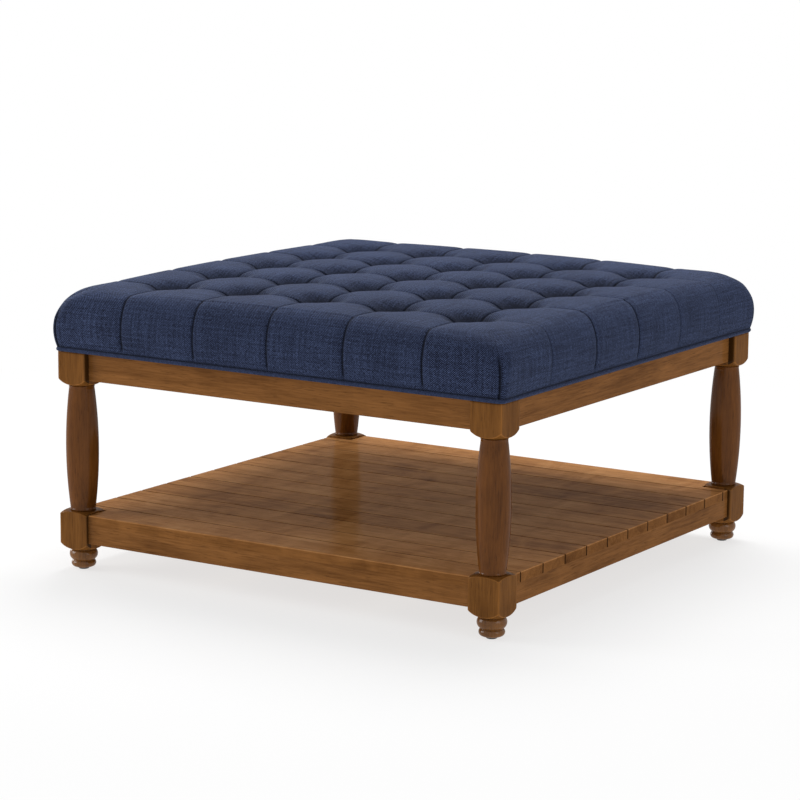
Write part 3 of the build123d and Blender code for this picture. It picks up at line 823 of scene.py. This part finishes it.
def as_mesh(piece, modifier):
    """Turns what a modifier makes of a piece into its mesh, and removes the modifier."""
    shaped = piece.evaluated_get(bpy.context.evaluated_depsgraph_get())
    mesh = bpy.data.meshes.new_from_object(shaped)
    piece.modifiers.remove(modifier)
    piece.data = mesh
    return mesh


refine = cushion.modifiers.new("refine", "SUBSURF")
refine.levels = refine.render_levels = 1
refine.uv_smooth = "NONE"
cover_mesh = as_mesh(cushion, refine)

# The pleats are pinched shut along their lines, and the cloth is lapped over at each corner.
# Some of the seams down the right side are pulled less tight than the rest.
past_tuft, foot_fade, foot_line, foot_shade = 0.02, 0.010, 0.0026, 1.3
right_seams = np.array([0.35, 1.0, 1.0, 0.45, 0.25])
pinch_width, side_pinch, top_pinch = 0.0018, 0.0014, 0.0022
hollow_width, hollow_depth = 0.009, 0.0011
lap_start, lap_run, lap_thickness = 0.004, 0.030, 0.0020
lap_line_width, lap_line_depth = 0.0023, 0.0028
lap_top, lap_fade = 0.442, 0.020
side_fold, top_fold = 0.0019, 0.0014
sunk_start, sunk_depth, sunk_curve, rim_fade = 0.001, 0.016, 1.4, 0.05


def crease(distance, width):
    """Falls off on both sides of a line."""
    return np.exp(-((distance / width) ** 2))


total = len(cover_mesh.vertices)
fine, normals = np.empty(total * 3), np.empty(total * 3)
cover_mesh.vertices.foreach_get("co", fine)
cover_mesh.vertices.foreach_get("normal", normals)
fine, normals = fine.reshape(-1, 3), normals.reshape(-1, 3)
flat_x, flat_y = thread_places(cover_mesh).T
flat_reach = np.maximum(np.abs(flat_x), np.abs(flat_y))
off = off_pleat(flat_x, flat_y, past_tuft)
outer = flat_reach > tuft_edge + past_tuft
above_foot = fine[:, 2] - cover_bottom
seam = nearest_line(flat_y).astype(int) + outer_tuft
tight = np.where(outer & (flat_x > tuft_edge + past_tuft), right_seams[seam], 1.0)
fade = np.clip(above_foot / foot_fade, 0, 1) * tight
pinch = crease(off, pinch_width) * fade
hollow = crease(off, hollow_width) * fade * outer
past_front, past_side = shoulder_half - np.abs(flat_x), shoulder_half - np.abs(flat_y)
beyond = np.where(past_side <= 0, np.maximum(past_front, 0), -np.maximum(past_side, 0)) - lap_start
on_wall = (flat_reach > shoulder_half) * np.clip((lap_top - fine[:, 2]) / lap_fade, 0, 1)
lap = np.where(beyond < 0, np.exp(beyond / lap_run), 0.0) * on_wall
lap_line = crease(beyond, lap_line_width) * on_wall
push = lap_thickness * lap - np.where(outer, side_pinch, top_pinch) * pinch
push = push - hollow_depth * hollow - lap_line_depth * lap_line
fine += normals * push[:, None]
cover_mesh.vertices.foreach_set("co", fine.ravel())

# Marks for painted shade on the cloth: in its creases, and by how deep it lies in a pleat or tuft.
# Painted shade: in the pleats' creases, along the corner laps, and in a line at the foot.
fold_shade = crease(off, np.where(outer, side_fold, top_fold)) * fade
at_foot = np.clip(foot_shade - above_foot / foot_line, 0, 1)
marked(cover_mesh, "fold", np.maximum(fold_shade, np.maximum(lap_line, at_foot)))
# Painted shade, darker the deeper the cloth lies below its crown.
sunk = crown(fine[:, 0], fine[:, 1]) - fine[:, 2] + sunk_start
on_top = np.clip((shoulder_half - flat_reach) / rim_fade, 0, 1)
marked(cover_mesh, "sunk", np.clip(sunk / sunk_depth, 0, 1) ** sunk_curve * on_top)

# Under the cushion the cloth turns in over the deck, and the cavity holds deck and filling.
# Each turn has its reach from the middle, its height and the radius of its corners.
foot_margin, foot_lip, deck_lip = 0.002, 0.0004, 0.0002
foot_corner, deck_corner, wadding_corner = 0.0105, 0.0075, 0.0603
turned_in = bmesh.new()
turned_in.from_mesh(cover_mesh)
for reach, height, radius in (
    (deck_reach + foot_margin, cover_bottom, foot_corner),
    (deck_reach, cover_bottom + foot_lip, deck_corner),
    (deck_reach, deck_top, deck_corner),
    (wadding_reach, deck_top + deck_lip, wadding_corner),
    (wadding_reach, cavity_top, wadding_corner),
):
    open_edges = [edge for edge in turned_in.edges if edge.is_boundary]
    extruded = bmesh.ops.extrude_edge_only(turned_in, edges=open_edges)
    for point in extruded["geom"]:
        if isinstance(point, bmesh.types.BMVert):
            scale = reach / max(abs(point.co.x), abs(point.co.y))
            place = rounded(point.co.x * scale, point.co.y * scale, reach, radius)
            point.co = (*place, height)
open_edges = [edge for edge in turned_in.edges if edge.is_boundary]
closed = bmesh.ops.contextual_create(turned_in, geom=open_edges)["faces"]
bmesh.ops.triangulate(turned_in, faces=closed)
bmesh.ops.recalc_face_normals(turned_in, faces=turned_in.faces)
turned_in.to_mesh(cover_mesh)
turned_in.free()
cover_mesh.polygons.foreach_set("use_smooth", [True] * len(cover_mesh.polygons))
cover_mesh.update()
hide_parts("cushion_cover")
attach(cushion, "root")

# Welt: a cotton cord in a bias strip of the same linen, which runs once round the foot of
# the cushion. Its colours are lighter than the cover's, as painted light on the cord.
# Its seam allowances are tacked to the deck's edge under the cover.
welt_yarn, welt_slant, slub_run, slub_turn = 0.0016, 0.0188, 300.0, 6.0
# Painted light: these colours are lighter than the cover's linen.
welt_dark, welt_middle = (0.0060, 0.0090, 0.0250), (0.0220, 0.0330, 0.0800)
welt_light = (0.0800, 0.1100, 0.2100)
welt_cloth = Finish("welt_cloth", **linen_sheen)
welt_run, welt_turn = welt_cloth.mark("run_length"), welt_cloth.mark("turn_share")
yarn, cross_yarn = [
    welt_cloth.reckon("SINE", (welt_run + welt_turn * slant) * (2 * pi / welt_yarn)) * 0.5 + 0.5
    for slant in (welt_slant, -welt_slant)
]
welt_place = welt_cloth.node(
    "ShaderNodeCombineXYZ", inputs={0: welt_run * slub_run, 1: welt_turn * slub_turn}
)
welt_slub = welt_cloth.noise(welt_place, scale=1.0, roughness=0.6)
welt_tone = yarn * cross_yarn * 0.22 + welt_slub * 0.75 + 0.05
welt_fabric = welt_cloth.show(
    Base_Color=welt_cloth.ramp(
        welt_tone, [(0.30, welt_dark), (0.50, welt_middle), (0.78, welt_light)]
    ),
    Roughness=0.80 + welt_slub * 0.1,
    Normal=welt_cloth.bump(yarn * cross_yarn, strength=0.4, distance=0.0004),
)

welt_tree = bpy.data.node_groups.new("welt_round_the_edge", "GeometryNodeTree")
welt_tree.interface.new_socket("Geometry", in_out="OUTPUT", socket_type="NodeSocketGeometry")
welt_bench = Bench(welt_tree)
welt_sizes = {
    "Half width": ("NodeSocketFloat", 0.4223),
    "Corner radius": ("NodeSocketFloat", 0.0100),
    "Height": ("NodeSocketFloat", 0.3694),
    "Cord radius": ("NodeSocketFloat", 0.0033),
    "Cloth": ("NodeSocketMaterial", welt_fabric),
}
welt_inputs = {
    label: welt_tree.interface.new_socket(label, in_out="INPUT", socket_type=kind).identifier
    for label, (kind, _) in welt_sizes.items()
}
given = {label: welt_bench.node("NodeGroupInput", output=label) for label in welt_sizes}


def noted(geometry, label, value):
    """Stores how far along a curve each of its points lies."""
    return welt_bench.node(
        "GeometryNodeStoreNamedAttribute",
        {"data_type": "FLOAT", "domain": "POINT"},
        {"Geometry": geometry, "Name": label, "Value": value},
    )


width = given["Half width"] * 2.0
square = welt_bench.node("GeometryNodeCurvePrimitiveQuadrilateral", None, {0: width, 1: width})
turned = welt_bench.node(
    "GeometryNodeFilletCurve",
    {"mode": "POLY"},
    {"Curve": square, "Radius": given["Corner radius"], "Count": 14},
)
run = welt_bench.node(
    "GeometryNodeResampleCurve", {"mode": "LENGTH"}, {"Curve": turned, "Length": 0.006}
)
lift = welt_bench.node("ShaderNodeCombineXYZ", None, {2: given["Height"]})
raised = welt_bench.node("GeometryNodeSetPosition", None, {"Geometry": run, "Offset": lift})
run_length = welt_bench.node("GeometryNodeSplineParameter", output=1)
raised = noted(raised, "run_length", run_length)
section = welt_bench.node(
    "GeometryNodeCurvePrimitiveCircle", None, {"Resolution": 14, "Radius": given["Cord radius"]}
)
section = noted(section, "turn_share", welt_bench.node("GeometryNodeSplineParameter"))
tube = welt_bench.node(
    "GeometryNodeCurveToMesh", None, {"Curve": raised, "Profile Curve": section}
)
smoothed = welt_bench.node("GeometryNodeSetShadeSmooth", None, {0: tube})
real = welt_bench.node("GeometryNodeRealizeInstances", None, {0: smoothed})
clothed = welt_bench.node(
    "GeometryNodeSetMaterial", None, {"Geometry": real, "Material": given["Cloth"]}
)
welt_bench.node("NodeGroupOutput", None, {0: clothed})

welt = bpy.data.objects.new("welt", bpy.data.meshes.new("welt_base"))
bpy.context.scene.collection.objects.link(welt)
cording = welt.modifiers.new("cording", "NODES")
cording.node_group = welt_tree
for label, (_, value) in welt_sizes.items():
    cording[welt_inputs[label]] = value
as_mesh(welt, cording)
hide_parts("welt_piping")
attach(welt, "root")

# The studio: a plain white floor under soft light from overhead, and a camera that stands
# as far off, and looks down as little, as the one that took the photograph.
white = (1, 1, 1, 1)
floor_paint = Finish(
    "floor_paint", Base_Color=(0.93, 0.93, 0.93, 1), Roughness=0.95, Specular_IOR_Level=0.0
)
floor_x, floor_y, _ = floor_paint.split(floor_paint.here())
from_table = (floor_x * floor_x + floor_y * floor_y) ** 0.5
shadow_reach, white_reach = 0.5, 2.0
floor_far = floor_paint.step(from_table, shadow_reach, white_reach, start=0.7, end=1.0)
floor_glow = floor_paint.node("ShaderNodeEmission", inputs={"Color": white, "Strength": 1.0})
floor_lit = Tone(floor_paint.tree, floor_paint.shader.outputs[0])
floor_mix = floor_paint.node(
    "ShaderNodeMixShader", inputs={0: floor_far, 1: floor_lit, 2: floor_glow}
)
feed(floor_paint.tree, floor_paint.tree.nodes["Material Output"].inputs[0], floor_mix)
floor_half = 90
floor_corners = [
    (x * floor_half, y * floor_half, 0) for x, y in ((-1, -1), (1, -1), (1, 1), (-1, 1))
]
floor = plain_piece("floor", floor_corners, [(0, 1, 2, 3)], floor_paint.material, smooth=False)

sky = bpy.data.worlds.new("studio")
bpy.context.scene.world = sky
sky.use_nodes = True
sky.node_tree.nodes.clear()
room = Bench(sky.node_tree)
rays = [
    room.node("ShaderNodeLightPath", output=f"Is {kind} Ray") for kind in ("Camera", "Glossy")
]
seen = room.node("ShaderNodeMath", {"operation": "MAXIMUM"}, dict(enumerate(rays)))
room_light = room.node("ShaderNodeBackground", inputs={"Color": white, "Strength": 0.34})
white_room = room.node("ShaderNodeBackground", inputs={"Color": white, "Strength": 1.0})
room_mix = room.node("ShaderNodeMixShader", inputs={0: seen, 1: room_light, 2: white_room})
room.node("ShaderNodeOutputWorld", inputs={0: room_mix})

lamps_aim = Vector((0, 0, 0.3))
for lamp_name, place, size, power in (
    ("overhead_softbox", (-0.4, 1.1, 3.1), 2.0, 92),
    ("front_softbox", (-3.3, -2.0, 1.3), 1.8, 64),
    ("side_softbox", (3.7, -0.9, 1.6), 2.0, 22),
    ("left_softbox", (-3.6, 1.0, 1.0), 1.6, 40),
):
    light = bpy.data.lights.new(lamp_name, "AREA")
    light.size = size
    light.energy = power
    lamp = bpy.data.objects.new(lamp_name, light)
    lamp.location = place
    lamp.rotation_euler = (lamps_aim - Vector(place)).to_track_quat("-Z", "Y").to_euler()
    bpy.context.scene.collection.objects.link(lamp)

camera_data = bpy.data.cameras.new("camera")
camera_data.sensor_width = 36
camera_data.lens = 126.85
camera = bpy.data.objects.new("camera", camera_data)
bpy.context.scene.collection.objects.link(camera)
camera_place = (2.4834, -3.9488, 1.1190)
heading, lowered, tilted = 0.5658, 0.1811, 0.0082
ahead = Vector((-sin(heading) * cos(lowered), cos(heading) * cos(lowered), -sin(lowered)))
level = Vector((cos(heading), sin(heading), 0))
above = level.cross(ahead)
right_hand = cos(tilted) * level + sin(tilted) * above
head = cos(tilted) * above - sin(tilted) * level
camera_axes = Matrix((right_hand, head, -ahead)).transposed()
camera.matrix_world = Matrix.Translation(camera_place) @ camera_axes.to_4x4()
bpy.context.scene.camera = camera
bpy.context.scene.view_settings.view_transform = "Standard"
